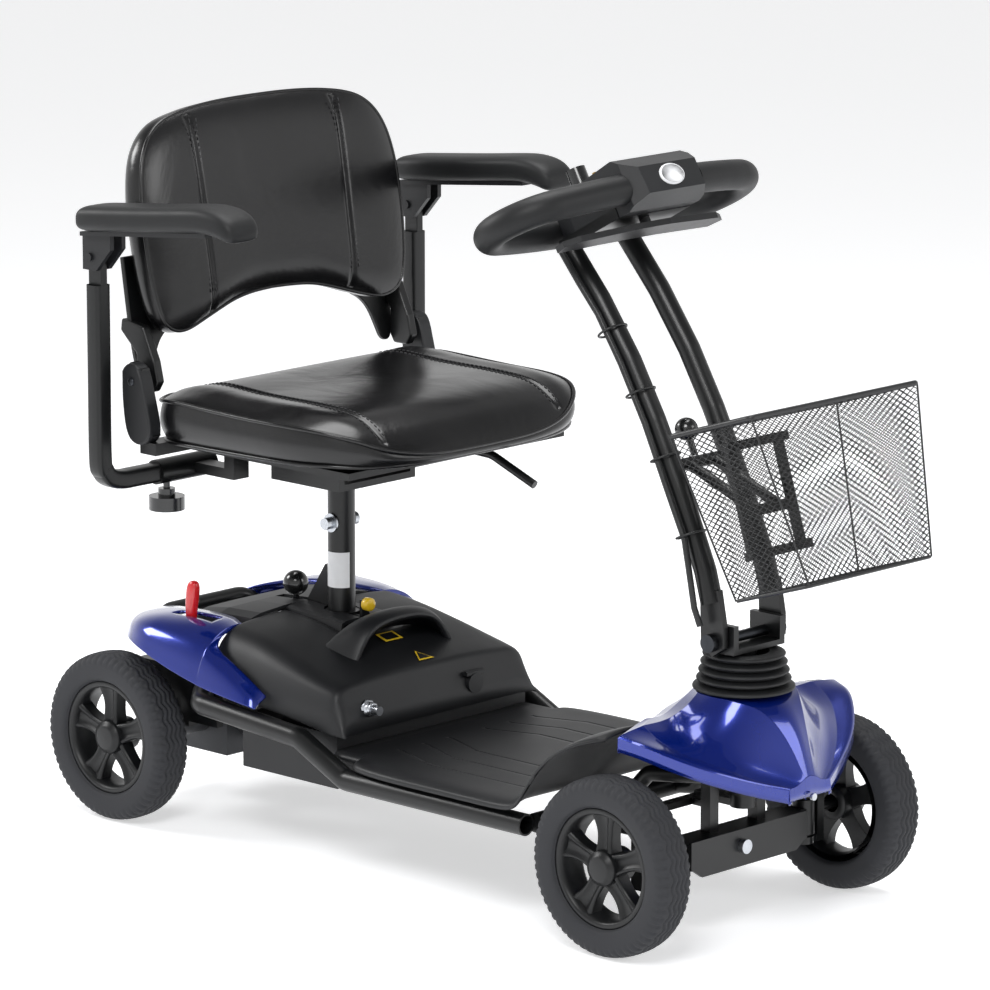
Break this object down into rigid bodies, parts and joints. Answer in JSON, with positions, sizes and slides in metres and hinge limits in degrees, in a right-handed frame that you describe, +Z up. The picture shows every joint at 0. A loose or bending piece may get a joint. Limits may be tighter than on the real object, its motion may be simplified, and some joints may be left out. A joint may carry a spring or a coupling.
{
  "type": "mobility scooter",
  "caption": "Compact mobility scooter with tiller steering, swivel seat, flip-up armrests, lift-off battery and a front basket.",
  "frame": {"origin": "on the floor, under the middle of the scooter's box", "axes": "+X forward, +Y to the rider's left, +Z up"},
  "size_m": [1.1082, 0.566, 0.8468],
  "materials": {
    "painted_frame": "satin",
    "zinc_steel": "bright zinc plate",
    "gearbox_alloy": "cast",
    "moulded_black": "fine moulded texture",
    "rim_plastic": "satin",
    "tyre_rubber": "matt",
    "painted_blue": "metallic gloss",
    "bellows_rubber": "matt",
    "grip_foam": "matt skin",
    "leatherette": "semi gloss",
    "knob_plastic": "gloss",
    "key_brass": "worn",
    "mesh_wire": "coated",
    "cable_sheath": "satin",
    "red_plastic": "gloss",
    "yellow_plastic": "gloss",
    "battery_case": "plain",
    "label_white": "printed film",
    "label_yellow": "printed film"
  },
  "bodies": {
    "chassis": {"rail_right": "painted_frame", "rail_left": "painted_frame", "rear_frame": "painted_frame", "front_frame": "painted_frame", "axle_beam": "painted_frame", "frame_bolts": "zinc_steel", "transaxle": "gearbox_alloy", "deck": "moulded_black", "front_fender": "painted_blue", "rear_fender_right": "painted_blue", "rear_fender_left": "painted_blue", "rear_shroud": "moulded_black", "bellows": "bellows_rubber", "post_socket": "painted_frame"},
    "seat_post": {"seat_post": "painted_frame", "post_bolt": "zinc_steel"},
    "stem": {"steering_stem": "painted_frame"},
    "tie_rod": {"tie_rod": "painted_frame"},
    "tiller": {"tiller_frame": "painted_frame", "tiller_pivot_bolt": "zinc_steel", "console_housing": "moulded_black", "steering_loop": "grip_foam", "tiller_cable": "cable_sheath", "basket_bracket": "painted_frame"},
    "tiller_knob": {"tiller_lock_knob": "knob_plastic"},
    "speed_dial": {"speed_dial": "knob_plastic"},
    "key": {"ignition_key": "key_brass"},
    "throttle": {"throttle_paddle": "moulded_black"},
    "basket": {"basket": "mesh_wire"},
    "lock_pin": {"seat_lock_pin": "yellow_plastic"},
    "seat": {"seat_base": "painted_frame", "seat_cushion": "leatherette"},
    "swivel_lever": {"swivel_lever": "painted_frame"},
    "backrest": {"back_frame": "painted_frame", "back_cushion": "leatherette"},
    "battery": {"battery_cover": "moulded_black", "battery_box": "moulded_black", "batteries": "battery_case"},
    "charge_cap": {"charge_port_cap": "moulded_black"},
    "breaker": {"breaker_button": "zinc_steel"},
    "freewheel": {"freewheel_lever": "red_plastic"},
    "release": {"release_lever": "knob_plastic"},
    "rear_wheel_right": {"rear_tyre_right": "tyre_rubber", "rear_rim_right": "rim_plastic"},
    "knuckle_right": {"knuckle_right": "painted_frame"},
    "front_wheel_right": {"front_tyre_right": "tyre_rubber", "front_rim_right": "rim_plastic"},
    "arm_right": {"arm_post_right": "painted_frame"},
    "armrest_right": {"arm_bracket_right": "moulded_black", "arm_pad_right": "grip_foam"},
    "arm_knob_right": {"arm_knob_right": "knob_plastic"},
    "rear_wheel_left": {"rear_tyre_left": "tyre_rubber", "rear_rim_left": "rim_plastic"},
    "knuckle_left": {"knuckle_left": "painted_frame"},
    "front_wheel_left": {"front_tyre_left": "tyre_rubber", "front_rim_left": "rim_plastic"},
    "arm_left": {"arm_post_left": "painted_frame"},
    "armrest_left": {"arm_bracket_left": "moulded_black", "arm_pad_left": "grip_foam"},
    "arm_knob_left": {"arm_knob_left": "knob_plastic"}
  },
  "joints": [
    {"name": "steering", "type": "hinge", "parent": "chassis", "child": "stem", "pos_m": [0.3729, 0, 0.2], "axis": [0, 0, 1], "range_deg": [-30, 30]},
    {"name": "rear_wheel_right_spin", "type": "hinge", "parent": "chassis", "child": "rear_wheel_right", "pos_m": [-0.4541, -0.17, 0.1], "axis": [0, 1, 0], "continuous": true},
    {"name": "knuckle_right_steer", "type": "hinge", "parent": "chassis", "child": "knuckle_right", "pos_m": [0.3529, -0.125, 0.095], "axis": [0, 0, 1], "range_deg": [-30, 30]},
    {"name": "front_wheel_right_spin", "type": "hinge", "parent": "knuckle_right", "child": "front_wheel_right", "pos_m": [0.3529, -0.1905, 0.1], "axis": [0, 1, 0], "continuous": true},
    {"name": "arm_right_width", "type": "slide", "parent": "seat", "child": "arm_right", "axis": [0, -1, 0], "range_m": [0, 0.04]},
    {"name": "armrest_right_flip", "type": "hinge", "parent": "arm_right", "child": "armrest_right", "pos_m": [-0.3841, -0.256, 0.689], "axis": [0, -1, 0], "range_deg": [0, 90]},
    {"name": "arm_knob_right_turn", "type": "hinge", "parent": "seat", "child": "arm_knob_right", "pos_m": [-0.3841, -0.153, 0.39], "axis": [0, 0, 1], "continuous": true},
    {"name": "rear_wheel_left_spin", "type": "hinge", "parent": "chassis", "child": "rear_wheel_left", "pos_m": [-0.4541, 0.17, 0.1], "axis": [0, 1, 0], "continuous": true},
    {"name": "knuckle_left_steer", "type": "hinge", "parent": "chassis", "child": "knuckle_left", "pos_m": [0.3529, 0.125, 0.095], "axis": [0, 0, 1], "range_deg": [-30, 30]},
    {"name": "front_wheel_left_spin", "type": "hinge", "parent": "knuckle_left", "child": "front_wheel_left", "pos_m": [0.3529, 0.1905, 0.1], "axis": [0, 1, 0], "continuous": true},
    {"name": "arm_left_width", "type": "slide", "parent": "seat", "child": "arm_left", "axis": [0, 1, 0], "range_m": [0, 0.04]},
    {"name": "armrest_left_flip", "type": "hinge", "parent": "arm_left", "child": "armrest_left", "pos_m": [-0.3841, 0.256, 0.689], "axis": [0, -1, 0], "range_deg": [0, 90]},
    {"name": "arm_knob_left_turn", "type": "hinge", "parent": "seat", "child": "arm_knob_left", "pos_m": [-0.3841, 0.153, 0.39], "axis": [0, 0, 1], "continuous": true},
    {"name": "tie_rod_pivot", "type": "hinge", "parent": "knuckle_right", "child": "tie_rod", "pos_m": [0.2979, -0.125, 0.128], "axis": [0, 0, 1], "range_deg": [-30, 30]},
    {"name": "tiller_tilt", "type": "hinge", "parent": "stem", "child": "tiller", "pos_m": [0.3719, 0, 0.327], "axis": [0, 1, 0], "range_deg": [-6, 10]},
    {"name": "tiller_knob_turn", "type": "hinge", "parent": "tiller", "child": "tiller_knob", "pos_m": [0.2986, 0, 0.5166], "axis": [-0.4158, 0, 0.9095], "continuous": true},
    {"name": "throttle_swing", "type": "hinge", "parent": "tiller", "child": "throttle", "pos_m": [0.22708, 0, 0.76118], "axis": [-0.4848, 0, 0.8746], "range_deg": [-10, 10], "stiffness_Nm_per_rad": 0.6},
    {"name": "speed_dial_turn", "type": "hinge", "parent": "tiller", "child": "speed_dial", "pos_m": [0.15651, -0.034, 0.81011], "axis": [-0.4848, 0, 0.8746], "range_deg": [0, 270]},
    {"name": "key_turn", "type": "hinge", "parent": "tiller", "child": "key", "pos_m": [0.14699, 0.012, 0.80254], "axis": [-0.4848, 0, 0.8746], "range_deg": [0, 90]},
    {"name": "basket_lift", "type": "slide", "parent": "tiller", "child": "basket", "axis": [-0.304, 0, 0.9527], "range_m": [0, 0.05]},
    {"name": "seat_height", "type": "slide", "parent": "chassis", "child": "seat_post", "axis": [0, 0, 1], "range_m": [0, 0.06]},
    {"name": "seat_swivel", "type": "hinge", "parent": "seat_post", "child": "seat", "pos_m": [-0.2516, 0, 0.412], "axis": [0, 0, 1], "continuous": true},
    {"name": "swivel_lever_pull", "type": "hinge", "parent": "seat", "child": "swivel_lever", "pos_m": [-0.1641, 0.07, 0.457], "axis": [0, 0, 1], "range_deg": [0, 12]},
    {"name": "backrest_fold", "type": "hinge", "parent": "seat", "child": "backrest", "pos_m": [-0.3511, 0, 0.545], "axis": [0, 1, 0], "range_deg": [0, 80]},
    {"name": "lock_pin_pull", "type": "slide", "parent": "chassis", "child": "lock_pin", "axis": [1, 0, 0], "range_m": [0, 0.0035], "stiffness_N_per_m": 300},
    {"name": "battery_lift", "type": "slide", "parent": "chassis", "child": "battery", "axis": [0, 0, 1], "range_m": [0, 0.06]},
    {"name": "charge_cap_open", "type": "hinge", "parent": "battery", "child": "charge_cap", "pos_m": [-0.0961, 0.06, 0.197], "axis": [0, -1, 0], "range_deg": [0, 100]},
    {"name": "breaker_press", "type": "slide", "parent": "battery", "child": "breaker", "axis": [-1, 0, 0], "range_m": [0, 0.003], "stiffness_N_per_m": 400},
    {"name": "freewheel_lever_swing", "type": "hinge", "parent": "chassis", "child": "freewheel", "pos_m": [-0.3691, -0.13, 0.214], "axis": [0, 1, 0], "range_deg": [0, 25]},
    {"name": "release_lever_swing", "type": "hinge", "parent": "chassis", "child": "release", "pos_m": [-0.3281, 0, 0.2], "axis": [0, 1, 0], "range_deg": [-15, 0]}
  ],
  "couplings": [
    {"joint": "knuckle_right_steer", "follows": "steering", "ratio": 1},
    {"joint": "knuckle_left_steer", "follows": "steering", "ratio": 1},
    {"joint": "tie_rod_pivot", "follows": "steering", "ratio": -1}
  ]
}
